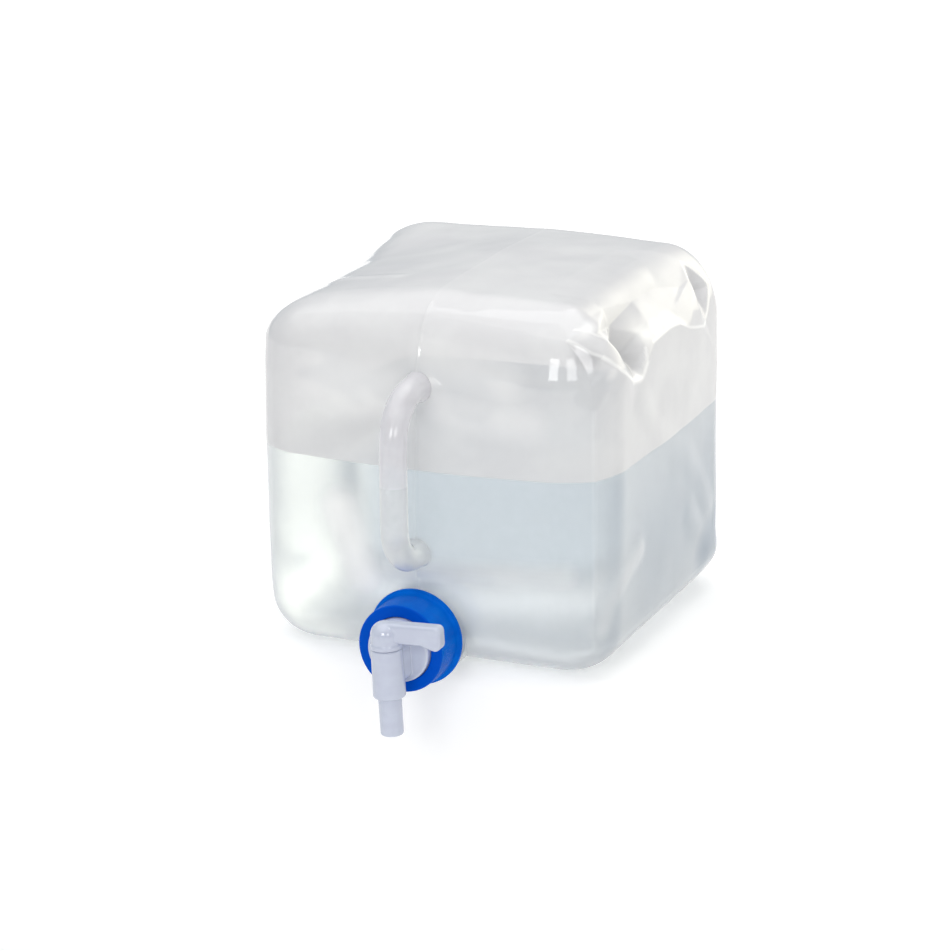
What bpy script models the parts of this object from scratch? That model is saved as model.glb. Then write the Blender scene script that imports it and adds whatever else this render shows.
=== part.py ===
"""Collapsible water carrier: a thin plastic cube with a hollow handle, a screw cap and a turning tap.

The carrier stands on its flat base with the middle of the base at the origin, +Z up. Its front,
with the handle and the tap, faces -Y. All lengths are in metres and all angles in radians.
Run it with blender --background --python part.py, or from Blender's text editor.
"""

import math

import bmesh
import bpy
from mathutils import Matrix, Vector

# Working clearances between neighbouring pieces, and the overruns that make clean cuts
GAP = 0.0003
SINK = 0.0006
OVERRUN = 0.004
MERGE = 0.000001

# Bevels follow a true arc
ARC_PROFILE = 0.5
EDGE_SEGMENTS = 3

# Container, a rounded cube whose faces swell under the water
BODY_WIDTH = 0.230
BODY_DEPTH = 0.228
BODY_HEIGHT = 0.228
EDGE_RADIUS = 0.032
WALL = 0.0010
FRONT_BULGE = 0.011
REAR_BULGE = 0.006
SIDE_BULGE = 0.004
TOP_BULGE = 0.003
BULGE_DROOP_SHARE = 0.35
RIM_LAND = 0.004

# The slack top hangs down to the left and a little at its right corners, from half way up
LEFT_SLACK = 0.0155
RIGHT_FRONT_SLACK = 0.007
RIGHT_BACK_SLACK = 0.004
SLACK_LOW_SHARE = 0.44
SLACK_HIGH_SHARE = 0.88
SLACK_REACH_SHARE = 1.05
SLACK_POWER = 1.3
EDGE_STEPS = 4
GRID_SHARES = (-0.62, -0.4, -0.2, 0.0, 0.2, 0.4, 0.62)

# Hollow handle, a tube bent in the middle plane of the front
HANDLE_RADIUS = 0.0083
HANDLE_ROOT_RADIUS = 0.0096
HANDLE_WALL = 0.0012
HANDLE_STANDOFF = 0.0405
HANDLE_TOP = 0.177
HANDLE_FOOT = 0.076
HANDLE_TOP_BEND = 0.027
HANDLE_FOOT_BEND = 0.019
HANDLE_FLARE = 0.012
HANDLE_MOUTH_RADIUS = 0.0060
HANDLE_SIDES = 16
BEND_STEPS = 7
GRIP_SHARES = (0.33, 0.67)

# Neck, a short threaded tube low on the front. Stations run forwards from the container's middle
CAP_HEIGHT = 0.0242
NECK_RADIUS = 0.0228
NECK_WALL = 0.0020
NECK_SETBACK = 0.019
THREAD_DEPTH = 0.0011
THREAD_PITCH = 0.0040
THREAD_FOOT = 0.0017
THREAD_CREST = 0.0008
THREAD_PLAY = 0.0005
NECK_TURNS = 2.25
CAP_TURNS = 1.5
THREAD_LEAD_IN = 0.0022
THREAD_RUNOUT = 0.25
TURN_STEPS = 40

# Screw cap, an open ring that clamps the tap on the neck
CAP_STANDOFF = 0.0115
CAP_DEPTH = 0.0246
CAP_LIP = 0.0022
CAP_FRONT_RADIUS = 0.0271
CAP_WAIST_RADIUS = 0.0276
CAP_HOLE_RADIUS = 0.0200
FLANGE_RADIUS = 0.0301
FLANGE_THICKNESS = 0.0028
FLANGE_FILLET = 0.0022
CAP_EDGE = 0.0009

# Gasket between the neck and the tap
GASKET_THICKNESS = 0.0015
GASKET_WIDTH = 0.0022

# Tap body: a clamped flange, a boss in the cap's hole, a stem and an upright barrel
TAP_FLANGE_THICKNESS = 0.0014
TAP_FLANGE_PLAY = 0.0013
BOSS_PLAY = 0.0004
BOSS_PROUD = 0.0035
TAP_TURN = math.radians(2.8)
STEM_WIDTH = 0.0176
STEM_TOP = 0.0062
STEM_FOOT = 0.0150
STEM_EDGE = 0.0026
STEM_BORE = 0.0045
BARREL_OFFSET = 0.0179
BARREL_TOP_RADIUS = 0.0094
BARREL_FOOT_RADIUS = 0.0099
BARREL_TOP = 0.0070
BARREL_FOOT = 0.0232
BARREL_EDGE = 0.0015
ROUND_STEPS = 40

# Tap key: one moulding of lever, plug and spout that turns in the barrel
PLUG_RADIUS = 0.0070
KEY_BORE = 0.0056
KEY_BORE_TOP = 0.0062
KEY_PORT = 0.0042
SPOUT_REACH = 0.0468
SPOUT_EDGE = 0.0006
HEAD_RADIUS = 0.0092
COLLAR_RADIUS = 0.0098
COLLAR_HEIGHT = 0.0030
HEAD_TOP = 0.0238
HEAD_ROUND = 0.0058
HEAD_ROUND_STEPS = 5
LEVER_REACH = 0.0365
LEVER_FOOT = 0.0112
LEVER_THICKNESS = 0.0095
LEVER_EDGE = 0.0028
LOBE_FOOT = 0.0084
LOBE_LENGTH = 0.0105
LOBE_PROUD = 0.0003

# Stations that several pieces share, worked out from the sizes above
FRONT = BODY_DEPTH / 2
RIM_DEPTH = EDGE_RADIUS + RIM_LAND
CAP_REAR = FRONT + CAP_STANDOFF
CAP_FRONT = CAP_REAR + CAP_DEPTH
CAP_INSIDE = CAP_FRONT - CAP_LIP
TAP_FLANGE_FRONT = CAP_INSIDE - GAP
TAP_FLANGE_REAR = TAP_FLANGE_FRONT - TAP_FLANGE_THICKNESS
GASKET_FRONT = TAP_FLANGE_REAR - GAP
GASKET_REAR = GASKET_FRONT - GASKET_THICKNESS
NECK_MOUTH = GASKET_REAR - GAP
NECK_ROOT = FRONT - NECK_SETBACK
NECK_BORE = NECK_RADIUS - NECK_WALL
CAP_BORE = NECK_RADIUS + THREAD_DEPTH + THREAD_PLAY
BARREL_STATION = CAP_FRONT + BARREL_OFFSET
BARREL_BORE = PLUG_RADIUS + GAP


def clear_scene():
    """Removes what the opened file holds, so that only the carrier is left."""
    for obj in list(bpy.data.objects):
        bpy.data.objects.remove(obj, do_unlink=True)


def plastic(name, colour, roughness, alpha=1.0):
    """A moulded plastic with its own colour; a thin wall lets some light through."""
    material = bpy.data.materials.new(name)
    material.use_nodes = True
    shader = material.node_tree.nodes["Principled BSDF"]
    shader.inputs["Base Color"].default_value = (*colour, 1.0)
    shader.inputs["Roughness"].default_value = roughness
    shader.inputs["Metallic"].default_value = 0.0
    shader.inputs["Alpha"].default_value = alpha
    return material


def guide(name, location, rotation, parent=None):
    """An empty that carries the pieces of one axis."""
    empty = bpy.data.objects.new(name, None)
    empty.location = location
    empty.rotation_euler = rotation
    empty.parent = parent
    bpy.context.collection.objects.link(empty)
    return empty


def solid(name, bm, parent=None, location=(0.0, 0.0, 0.0), rotation=(0.0, 0.0, 0.0)):
    """Turns a finished bmesh into an object with its faces pointing out."""
    bmesh.ops.recalc_face_normals(bm, faces=bm.faces)
    mesh = bpy.data.meshes.new(name)
    bm.to_mesh(mesh)
    bm.free()
    mesh.shade_smooth()
    mesh.set_sharp_from_angle(angle=math.radians(35))
    obj = bpy.data.objects.new(name, mesh)
    obj.location = location
    obj.rotation_euler = rotation
    obj.parent = parent
    bpy.context.collection.objects.link(obj)
    return obj


def combine(obj, tool, operation):
    """Cuts the tool out of the object, or joins it on, and hides the tool."""
    tool.hide_render = True
    tool.display_type = "WIRE"
    boolean = obj.modifiers.new(f"{operation.lower()} {tool.name}", "BOOLEAN")
    boolean.operation = operation
    boolean.object = tool


def turned(outline, steps=ROUND_STEPS):
    """A closed outline of (radius, height) points turned once around Z."""
    bm = bmesh.new()
    corners = [bm.verts.new((radius, 0.0, height)) for radius, height in outline]
    edges = []
    for start, end in zip(corners, corners[1:] + corners[:1]):
        if start.co.x > 0.0 or end.co.x > 0.0:
            edges.append(bm.edges.new((start, end)))
    bmesh.ops.spin(
        bm, geom=edges, cent=(0.0, 0.0, 0.0), axis=(0.0, 0.0, 1.0), angle=2 * math.pi,
        steps=steps, use_merge=True,
    )
    bmesh.ops.remove_doubles(bm, verts=bm.verts, dist=MERGE)
    return bm


def rod(radius, low, high, steps=ROUND_STEPS):
    """A plain cylinder along Z, from one height to another."""
    return turned([(0.0, low), (radius, low), (radius, high), (0.0, high)], steps)


def rounded_bar(low, high, edge):
    """A box between two corners with all its edges rounded."""
    bm = bmesh.new()
    low, high = Vector(low), Vector(high)
    size = high - low
    matrix = Matrix.Translation((low + high) / 2) @ Matrix.Diagonal((*size, 1.0))
    bmesh.ops.create_cube(bm, size=1.0, matrix=matrix)
    bmesh.ops.bevel(
        bm, geom=bm.edges[:], offset=edge, segments=EDGE_SEGMENTS, profile=ARC_PROFILE,
        affect="EDGES",
    )
    return bm


def eased(share):
    """A share held between 0 and 1, with a soft start and a soft end."""
    held = min(1.0, max(0.0, share))
    return held * held * (3 - 2 * held)


def hang(point):
    """How far the slack top hangs at a point: most along its left edge, and nothing at the back."""
    left = max(0.0, -point.x / (BODY_WIDTH / 2)) ** SLACK_POWER
    right = max(0.0, point.x / (BODY_WIDTH / 2)) ** SLACK_POWER
    along = point.y / (BODY_DEPTH / 2)
    edge = LEFT_SLACK * left * eased((1 - along) / SLACK_REACH_SHARE)
    edge += RIGHT_FRONT_SLACK * right * max(0.0, -along) ** 2
    edge += RIGHT_BACK_SLACK * right * max(0.0, along)
    up = point.z / BODY_HEIGHT
    return edge * eased((up - SLACK_LOW_SHARE) / (SLACK_HIGH_SHARE - SLACK_LOW_SHARE))


def swell(point):
    """Moves a point of the rounded cube by the bulge of its face and the slack of the top. The base
    stays flat."""
    across = point.x / (BODY_WIDTH / 2)
    along = point.y / (BODY_DEPTH / 2)
    up = (point.z - BODY_HEIGHT / 2) / (BODY_HEIGHT / 2)
    droop = 1 - BULGE_DROOP_SHARE * up
    depth_bulge = FRONT_BULGE if along < 0 else REAR_BULGE
    out = Vector((0.0, 0.0, 0.0))
    out.x = math.copysign(SIDE_BULGE, across) * (1 - along**2) * (1 - up**2) * droop
    out.y = math.copysign(depth_bulge, along) * (1 - across**2) * (1 - up**2) * droop
    if up > 0:
        out.z = TOP_BULGE * (1 - across**2) * (1 - along**2)
    out.z -= hang(point)
    return point + out


def container_skin(clearance=0.0):
    """The closed outer surface of the whole container, moved out by a clearance."""
    bm = bmesh.new()
    size = Vector((BODY_WIDTH, BODY_DEPTH, BODY_HEIGHT))
    middle = Vector((0.0, 0.0, BODY_HEIGHT / 2))
    matrix = Matrix.Translation(middle) @ Matrix.Diagonal((*size, 1.0))
    bmesh.ops.create_cube(bm, size=1.0, matrix=matrix)
    bmesh.ops.bevel(
        bm, geom=bm.edges[:], offset=EDGE_RADIUS, segments=EDGE_STEPS, profile=ARC_PROFILE,
        affect="EDGES",
    )
    for axis in range(3):
        normal = Vector((0.0, 0.0, 0.0))
        normal[axis] = 1.0
        for share in GRID_SHARES:
            place = middle + normal * (share * size[axis] / 2)
            everything = bm.verts[:] + bm.edges[:] + bm.faces[:]
            bmesh.ops.bisect_plane(bm, geom=everything, plane_co=place, plane_no=normal)
    for vert in bm.verts:
        vert.co = swell(vert.co)
    bmesh.ops.recalc_face_normals(bm, faces=bm.faces)
    if clearance:
        bm.normal_update()
        moved = [vert.co + vert.normal * clearance for vert in bm.verts]
        for vert, place in zip(bm.verts, moved):
            vert.co = place
    return bm


def keep_between(bm, rear_y=None, front_y=None):
    """Cuts the skin away behind and in front of two upright planes across it."""
    for place, side in ((rear_y, "clear_outer"), (front_y, "clear_inner")):
        if place is None:
            continue
        everything = bm.verts[:] + bm.edges[:] + bm.faces[:]
        bmesh.ops.bisect_plane(
            bm, geom=everything, plane_co=(0.0, place, 0.0), plane_no=(0.0, 1.0, 0.0),
            **{side: True},
        )


def container_zone(name, material, rear_y=None, front_y=None):
    """One zone of the thin moulded container: the skin between two planes, with its wall."""
    bm = container_skin()
    keep_between(bm, rear_y, front_y)
    obj = solid(name, bm)
    wall = obj.modifiers.new("wall", "SOLIDIFY")
    wall.thickness = WALL
    wall.offset = -1.0
    wall.use_even_offset = True
    obj.data.materials.append(material)
    return obj


def folding_walls():
    """Top, base and sides: the belt that creases when the carrier is pressed flat."""
    rim = FRONT - RIM_DEPTH - GAP / 2
    material = plastic("folding_walls", (0.80, 0.83, 0.86), 0.25, 0.5)
    return container_zone("folding_walls", material, rear_y=rim, front_y=-rim)


def rear_panel():
    """The stiff back of the container, which stays flat when it is folded."""
    rim = FRONT - RIM_DEPTH + GAP / 2
    material = plastic("rear_panel", (0.80, 0.83, 0.86), 0.25, 0.5)
    return container_zone("rear_panel", material, front_y=rim)


def front_panel(cap_axis):
    """The stiff front of the container, open to the neck and to both ends of the handle."""
    rim = FRONT - RIM_DEPTH + GAP / 2
    material = plastic("front_panel", (0.80, 0.83, 0.86), 0.25, 0.5)
    panel = container_zone("front_panel", material, rear_y=-rim)
    opening = rod(NECK_RADIUS + GAP, NECK_ROOT - GAP, CAP_REAR + OVERRUN)
    combine(panel, solid("neck_opening", opening, cap_axis), "DIFFERENCE")
    reach = FRONT + FRONT_BULGE + OVERRUN
    for label, height in (("top", HANDLE_TOP), ("foot", HANDLE_FOOT)):
        mouth = rod(HANDLE_MOUTH_RADIUS, FRONT - OVERRUN, reach, HANDLE_SIDES)
        place = (0.0, height - CAP_HEIGHT, 0.0)
        combine(panel, solid(f"handle_mouth_{label}", mouth, cap_axis, place), "DIFFERENCE")
    return panel


def bend(corner, before, after, radius):
    """Points of a rounded corner between two directions at a right angle."""
    centre = corner - before * radius + after * radius
    points = []
    for step in range(BEND_STEPS + 1):
        angle = math.pi / 2 * step / BEND_STEPS
        points.append(centre - after * radius * math.cos(angle) + before * radius * math.sin(angle))
    return points


def handle_route():
    """The middle line of the handle, from inside the face at the top to inside it at the foot."""
    root = -(FRONT - OVERRUN)
    grip = -(FRONT + HANDLE_STANDOFF)
    forward, down, back = Vector((0, -1, 0)), Vector((0, 0, -1)), Vector((0, 1, 0))
    top = bend(Vector((0, grip, HANDLE_TOP)), forward, down, HANDLE_TOP_BEND)
    foot = bend(Vector((0, grip, HANDLE_FOOT)), down, back, HANDLE_FOOT_BEND)
    start, end = Vector((0, root, HANDLE_TOP)), Vector((0, root, HANDLE_FOOT))
    head = [start, start.lerp(top[0], 0.5)]
    tail = [foot[-1].lerp(end, 0.5), end]
    middle = [top[-1].lerp(foot[0], share) for share in GRIP_SHARES]
    return head + top + middle + foot + tail


def handle_radius(point):
    """The handle is widest where it grows out of the face."""
    out = -point.y - FRONT - FRONT_BULGE
    share = min(1.0, max(0.0, 1.0 - out / HANDLE_FLARE))
    return HANDLE_RADIUS + (HANDLE_ROOT_RADIUS - HANDLE_RADIUS) * share**2


def handle():
    """The hollow handle: an open tube, trimmed to the swelling face of the front panel."""
    route = handle_route()
    bm = bmesh.new()
    rings = []
    for index, point in enumerate(route):
        before = route[max(index - 1, 0)]
        after = route[min(index + 1, len(route) - 1)]
        along = (after - before).normalized()
        sideways = Vector((1, 0, 0))
        outwards = sideways.cross(along)
        radius = handle_radius(point)
        ring = []
        for side in range(HANDLE_SIDES):
            angle = 2 * math.pi * side / HANDLE_SIDES
            spoke = sideways * math.cos(angle) + outwards * math.sin(angle)
            ring.append(bm.verts.new(point + spoke * radius))
        rings.append(ring)
    for ring, following in zip(rings, rings[1:]):
        for side in range(HANDLE_SIDES):
            nearby = (side + 1) % HANDLE_SIDES
            bm.faces.new((ring[side], ring[nearby], following[nearby], following[side]))
    tube = solid("handle", bm)
    wall = tube.modifiers.new("wall", "SOLIDIFY")
    wall.thickness = HANDLE_WALL
    wall.offset = -1.0
    wall.use_even_offset = True
    combine(tube, solid("face_clearance", container_skin(GAP)), "DIFFERENCE")
    tube.data.materials.append(plastic("handle", (0.82, 0.83, 0.87), 0.22, 0.6))
    return tube


def thread(name, parent, root, crest, turns, first_station):
    """A helical ridge that climbs forwards, from a root radius to a crest radius."""
    bm = bmesh.new()
    sunk = root - SINK if crest > root else root + SINK
    steps = round(turns * TURN_STEPS)
    sections = []
    for step in range(steps + 1):
        share = min(1.0, 4 * step / TURN_STEPS, 4 * (steps - step) / TURN_STEPS)
        tip = root + (crest - root) * (THREAD_RUNOUT + (1 - THREAD_RUNOUT) * share)
        angle = 2 * math.pi * step / TURN_STEPS
        station = first_station + THREAD_PITCH * step / TURN_STEPS
        corners = (
            (sunk, -THREAD_FOOT / 2), (tip, -THREAD_CREST / 2),
            (tip, THREAD_CREST / 2), (sunk, THREAD_FOOT / 2),
        )
        sections.append([
            bm.verts.new((radius * math.cos(angle), radius * math.sin(angle), station + shift))
            for radius, shift in corners
        ])
    for section, following in zip(sections, sections[1:]):
        for side in range(len(section)):
            nearby = (side + 1) % len(section)
            bm.faces.new((section[side], section[nearby], following[nearby], following[side]))
    bm.faces.new(sections[0])
    bm.faces.new(sections[-1])
    return solid(name, bm, parent)


def neck(cap_axis):
    """The short tube that the cap screws onto, with its thread outside."""
    outline = [
        (NECK_BORE, NECK_ROOT), (NECK_RADIUS, NECK_ROOT),
        (NECK_RADIUS, NECK_MOUTH), (NECK_BORE, NECK_MOUTH),
    ]
    tube = solid("neck", turned(outline), cap_axis)
    length = THREAD_PITCH * NECK_TURNS
    ridge = thread(
        "neck_thread", cap_axis, NECK_RADIUS, NECK_RADIUS + THREAD_DEPTH, NECK_TURNS,
        NECK_MOUTH - THREAD_LEAD_IN - length,
    )
    combine(tube, ridge, "UNION")
    tube.data.materials.append(plastic("neck", (0.80, 0.83, 0.86), 0.3, 0.7))
    return tube


def ring_cap(cap_axis):
    """The open screw cap: a skirt with its thread inside, a gripping flange and a front lip."""
    flange_front = CAP_REAR + FLANGE_THICKNESS
    outline = [
        (CAP_BORE, CAP_REAR), (FLANGE_RADIUS - CAP_EDGE, CAP_REAR),
        (FLANGE_RADIUS, CAP_REAR + CAP_EDGE), (FLANGE_RADIUS, flange_front - CAP_EDGE),
        (FLANGE_RADIUS - CAP_EDGE, flange_front),
        (CAP_WAIST_RADIUS + FLANGE_FILLET / 3, flange_front + FLANGE_FILLET / 3),
        (CAP_WAIST_RADIUS, flange_front + FLANGE_FILLET),
        (CAP_FRONT_RADIUS, CAP_FRONT - CAP_EDGE), (CAP_FRONT_RADIUS - CAP_EDGE, CAP_FRONT),
        (CAP_HOLE_RADIUS, CAP_FRONT), (CAP_HOLE_RADIUS, CAP_INSIDE), (CAP_BORE, CAP_INSIDE),
    ]
    ring = solid("ring_cap", turned(outline), cap_axis)
    length = THREAD_PITCH * NECK_TURNS
    behind = (THREAD_FOOT + THREAD_CREST) / 2 + GAP
    ridge = thread(
        "cap_thread", cap_axis, CAP_BORE, CAP_BORE - THREAD_DEPTH, CAP_TURNS,
        NECK_MOUTH - THREAD_LEAD_IN - length - behind,
    )
    combine(ring, ridge, "UNION")
    ring.data.materials.append(plastic("ring_cap", (0.0, 0.10, 0.55), 0.35))
    return ring


def neck_gasket(cap_axis):
    """The soft washer that seals the tap's flange against the neck's mouth."""
    outline = [
        (NECK_RADIUS - GASKET_WIDTH, GASKET_REAR), (NECK_RADIUS, GASKET_REAR),
        (NECK_RADIUS, GASKET_FRONT), (NECK_RADIUS - GASKET_WIDTH, GASKET_FRONT),
    ]
    ring = solid("neck_gasket", turned(outline), cap_axis)
    ring.data.materials.append(plastic("neck_gasket", (0.85, 0.86, 0.88), 0.6))
    return ring


def tap_body(tap_axis, barrel_axis):
    """The fixed part of the tap: flange, boss, stem and the barrel that holds the key."""
    flange = CAP_BORE - TAP_FLANGE_PLAY
    boss = CAP_HOLE_RADIUS - BOSS_PLAY
    boss_front = CAP_FRONT + BOSS_PROUD
    outline = [
        (0.0, TAP_FLANGE_REAR), (flange, TAP_FLANGE_REAR), (flange, TAP_FLANGE_FRONT),
        (boss, TAP_FLANGE_FRONT), (boss, boss_front - CAP_EDGE), (boss - CAP_EDGE, boss_front),
        (0.0, boss_front),
    ]
    body = solid("tap_body", turned(outline), tap_axis)
    half = STEM_WIDTH / 2
    stem = rounded_bar(
        (-half, -STEM_FOOT, boss_front - STEM_EDGE), (half, STEM_TOP, BARREL_STATION), STEM_EDGE
    )
    combine(body, solid("tap_stem", stem, tap_axis), "UNION")
    shell = turned([
        (0.0, -BARREL_FOOT), (BARREL_FOOT_RADIUS - BARREL_EDGE, -BARREL_FOOT),
        (BARREL_FOOT_RADIUS, -BARREL_FOOT + BARREL_EDGE), (BARREL_TOP_RADIUS, BARREL_TOP),
        (0.0, BARREL_TOP),
    ])
    combine(body, solid("barrel_shell", shell, barrel_axis), "UNION")
    passage = rod(STEM_BORE, TAP_FLANGE_REAR - OVERRUN, BARREL_STATION - BARREL_BORE / 2)
    combine(body, solid("stem_bore", passage, tap_axis), "DIFFERENCE")
    bore = rod(BARREL_BORE, -BARREL_FOOT - OVERRUN, BARREL_TOP + OVERRUN)
    combine(body, solid("barrel_bore", bore, barrel_axis), "DIFFERENCE")
    body.data.materials.append(plastic("tap_body", (0.72, 0.74, 0.82), 0.32))
    return body


def key_outline():
    """The key's turned outline, from the spout's mouth up to the domed head."""
    seat = BARREL_TOP + GAP
    dome_centre = HEAD_TOP - HEAD_ROUND
    outline = [
        (0.0, -SPOUT_REACH), (PLUG_RADIUS - SPOUT_EDGE, -SPOUT_REACH),
        (PLUG_RADIUS, -SPOUT_REACH + SPOUT_EDGE), (PLUG_RADIUS, seat),
        (COLLAR_RADIUS, seat), (COLLAR_RADIUS, seat + COLLAR_HEIGHT),
        (HEAD_RADIUS, seat + COLLAR_HEIGHT),
    ]
    for step in range(HEAD_ROUND_STEPS + 1):
        angle = math.pi / 2 * step / HEAD_ROUND_STEPS
        radius = HEAD_RADIUS - HEAD_ROUND + HEAD_ROUND * math.cos(angle)
        outline.append((radius, dome_centre + HEAD_ROUND * math.sin(angle)))
    outline.append((0.0, HEAD_TOP))
    return outline


def tap_key(key_axis):
    """The turning key: a lever on top, a hollow plug in the barrel and the spout below it."""
    key = solid("tap_key", turned(key_outline()), key_axis)
    half = LEVER_THICKNESS / 2
    arm = rounded_bar(
        (-HEAD_RADIUS / 2, -half, LEVER_FOOT),
        (LEVER_REACH - LOBE_PROUD, half, HEAD_TOP - LOBE_PROUD), LEVER_EDGE,
    )
    combine(key, solid("lever_arm", arm, key_axis), "UNION")
    lobe = rounded_bar(
        (LEVER_REACH - LOBE_LENGTH, -half - LOBE_PROUD, LOBE_FOOT),
        (LEVER_REACH, half + LOBE_PROUD, HEAD_TOP), LEVER_EDGE,
    )
    combine(key, solid("lever_lobe", lobe, key_axis), "UNION")
    bore = rod(KEY_BORE, -SPOUT_REACH - OVERRUN, KEY_BORE_TOP)
    combine(key, solid("key_bore", bore, key_axis), "DIFFERENCE")
    port = rod(KEY_PORT, 0.0, PLUG_RADIUS + OVERRUN)
    quarter = (0.0, -math.pi / 2, 0.0)
    combine(key, solid("key_port", port, key_axis, rotation=quarter), "DIFFERENCE")
    key.data.materials.append(plastic("tap_key", (0.72, 0.74, 0.82), 0.3))
    return key


def build():
    """Makes every piece of the carrier on its own axis."""
    clear_scene()
    cap_axis = guide("cap_axis", (0.0, 0.0, CAP_HEIGHT), (math.pi / 2, 0.0, 0.0))
    tap_axis = guide("tap_axis", (0.0, 0.0, 0.0), (0.0, 0.0, TAP_TURN), cap_axis)
    upright = (-math.pi / 2, 0.0, 0.0)
    barrel_axis = guide("barrel_axis", (0.0, 0.0, BARREL_STATION), upright, tap_axis)
    folding_walls()
    rear_panel()
    front_panel(cap_axis)
    handle()
    neck(cap_axis)
    neck_gasket(cap_axis)
    ring_cap(cap_axis)
    tap_body(tap_axis, barrel_axis)
    tap_key(barrel_axis)


build()
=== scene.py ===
"""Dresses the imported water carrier: the milky folded container, its water, the handle, cap and tap.

All sizes are in metres and all angles in radians, in the carrier's own frame: the middle of its base
is the origin, +Z is up and its front, with the handle and the tap, faces -Y.
"""

import math

import bmesh
import bpy
import numpy as np
from mathutils import Matrix, Vector, noise
from mathutils.geometry import delaunay_2d_cdt


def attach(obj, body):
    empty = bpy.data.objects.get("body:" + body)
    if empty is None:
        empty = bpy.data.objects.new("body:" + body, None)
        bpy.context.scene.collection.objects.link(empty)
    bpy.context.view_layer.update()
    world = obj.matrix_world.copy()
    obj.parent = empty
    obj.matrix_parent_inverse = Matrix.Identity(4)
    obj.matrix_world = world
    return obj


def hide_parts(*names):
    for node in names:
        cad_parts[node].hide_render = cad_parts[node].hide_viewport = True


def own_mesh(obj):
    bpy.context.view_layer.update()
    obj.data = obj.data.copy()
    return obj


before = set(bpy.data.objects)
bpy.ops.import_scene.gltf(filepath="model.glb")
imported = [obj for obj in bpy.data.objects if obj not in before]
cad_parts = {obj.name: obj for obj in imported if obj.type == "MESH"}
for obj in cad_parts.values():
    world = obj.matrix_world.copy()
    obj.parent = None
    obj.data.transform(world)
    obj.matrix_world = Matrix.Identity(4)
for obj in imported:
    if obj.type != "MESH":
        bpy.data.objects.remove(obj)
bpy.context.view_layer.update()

MM = 0.001

# Container, at the sizes of the solids
HALF = Vector((0.1145, 0.1135, 0.1135))
EDGE_ACROSS = 0.034
EDGE_TOP_LEFT = 0.022
EDGE_TOP_RIGHT = 0.045
EDGE_BASE = 0.029
FRONT_BULGE = 0.011
REAR_BULGE = 0.006
SIDE_BULGE = 0.0031
TOP_BULGE = 0.0034
DROOP = 0.35
# The slack top, as on the solids: how far it hangs at its left edge and at its right corners
LEFT_SLACK = 0.0155
RIGHT_FRONT_SLACK = 0.007
RIGHT_BACK_SLACK = 0.004
SLACK_LOW = 0.100
SLACK_HIGH = 0.200
SLACK_REACH = 1.05
SLACK_POWER = 1.3
GRID_CUTS = 95
GRID_GATHER = 0.22
FINE_FROM = 0.25
SEAM_HALF_WIDTH = 0.0009
SEAM_HEIGHT = 0.0003
SEAM_ELSEWHERE = 0.12
# How far above its flat base the film is free to stand out
STANDING_HEIGHT = 0.016
# The slow unevenness of the film: heights and how close together
WAVES = ((0.0009, 16.0), (0.00025, 55.0))

# Water
WATER_LEVEL = 0.1277
WATER_INSET = 0.0014

# Handle, bent in the middle plane of the front
HANDLE_RADIUS = 0.0083
HANDLE_ROOT = 0.0098
HANDLE_TOP = 0.177
HANDLE_FOOT = 0.076
HANDLE_GRIP = -0.1545
HANDLE_TOP_BEND = 0.027
HANDLE_FOOT_BEND = 0.025
HANDLE_TOP_END = -0.1185
HANDLE_FOOT_END = -0.1225
HANDLE_WATER = 0.1273
HANDLE_SIDES = 48
HANDLE_BEND_STEPS = 20
HANDLE_RUN_STEPS = 5
HANDLE_MIDDLE = 0.12
HANDLE_FLARE = 0.016
HANDLE_FLARE_POWER = 2.2

# Stations along the neck's axis, measured from the middle of the container to the front
CAP_AXIS = 0.0242
CAP_REAR = 0.1255
CAP_FRONT = 0.1501
CAP_INSIDE = 0.1479
CAP_BORE = 0.0244
CAP_HOLE = 0.0200
CAP_FLANGE = 0.0292
CAP_FLANGE_DEPTH = 0.0028
CAP_EDGE = 0.0009
CAP_FILLET = 0.0022
CAP_FILLET_AT = (0.0298, 0.0050)
# The drafted skirt: radii, and how far ahead of the cap's rear
CAP_SKIRT = ((0.0275, 0.010), (0.0273, 0.016))
CAP_SKIRT_END = 0.0271
CAP_FRONT_ROUND = 0.0012
CAP_HOLE_ROUND = 0.0006
# The grip lines: how many faces round the cap, their depth, and where they lie on the skirt and the rim
GRIP_LINES = 240
GRIP_DEPTH = 0.0001
GRIP_BEHIND_FRONT = 0.0016
GRIP_AHEAD_OF_REAR = 0.0034
GRIP_SKIRT = 0.0265
GRIP_RIM = 0.0298
NECK_RADIUS = 0.0228
NECK_BORE = 0.0208
NECK_MOUTH = 0.1441
NECK_ROOT = 0.100
NECK_FLARE = 0.0285
NECK_FLARE_END = 0.1150
NECK_ROUND_AT = 0.1232
NECK_EDGE = 0.0006
GASKET_REAR = 0.1444
GASKET_FRONT = 0.1459
GASKET_RADIUS = 0.0225
GASKET_EDGE = 0.0004
TAP_FLANGE_REAR = 0.1462
TAP_FLANGE_FRONT = 0.1476
TAP_FLANGE = 0.0231
BOSS = 0.0196
BOSS_FRONT = 0.1536
BOSS_ROUND = 0.0011
STEM_HALF = 0.0088
STEM_TOP = 0.0062
STEM_FOOT = 0.0150
STEM_EDGE = 0.0026
STEM_IN_BOSS = 0.001
BARREL_STATION = 0.168
TAP_TURN = math.radians(2.8)

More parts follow.
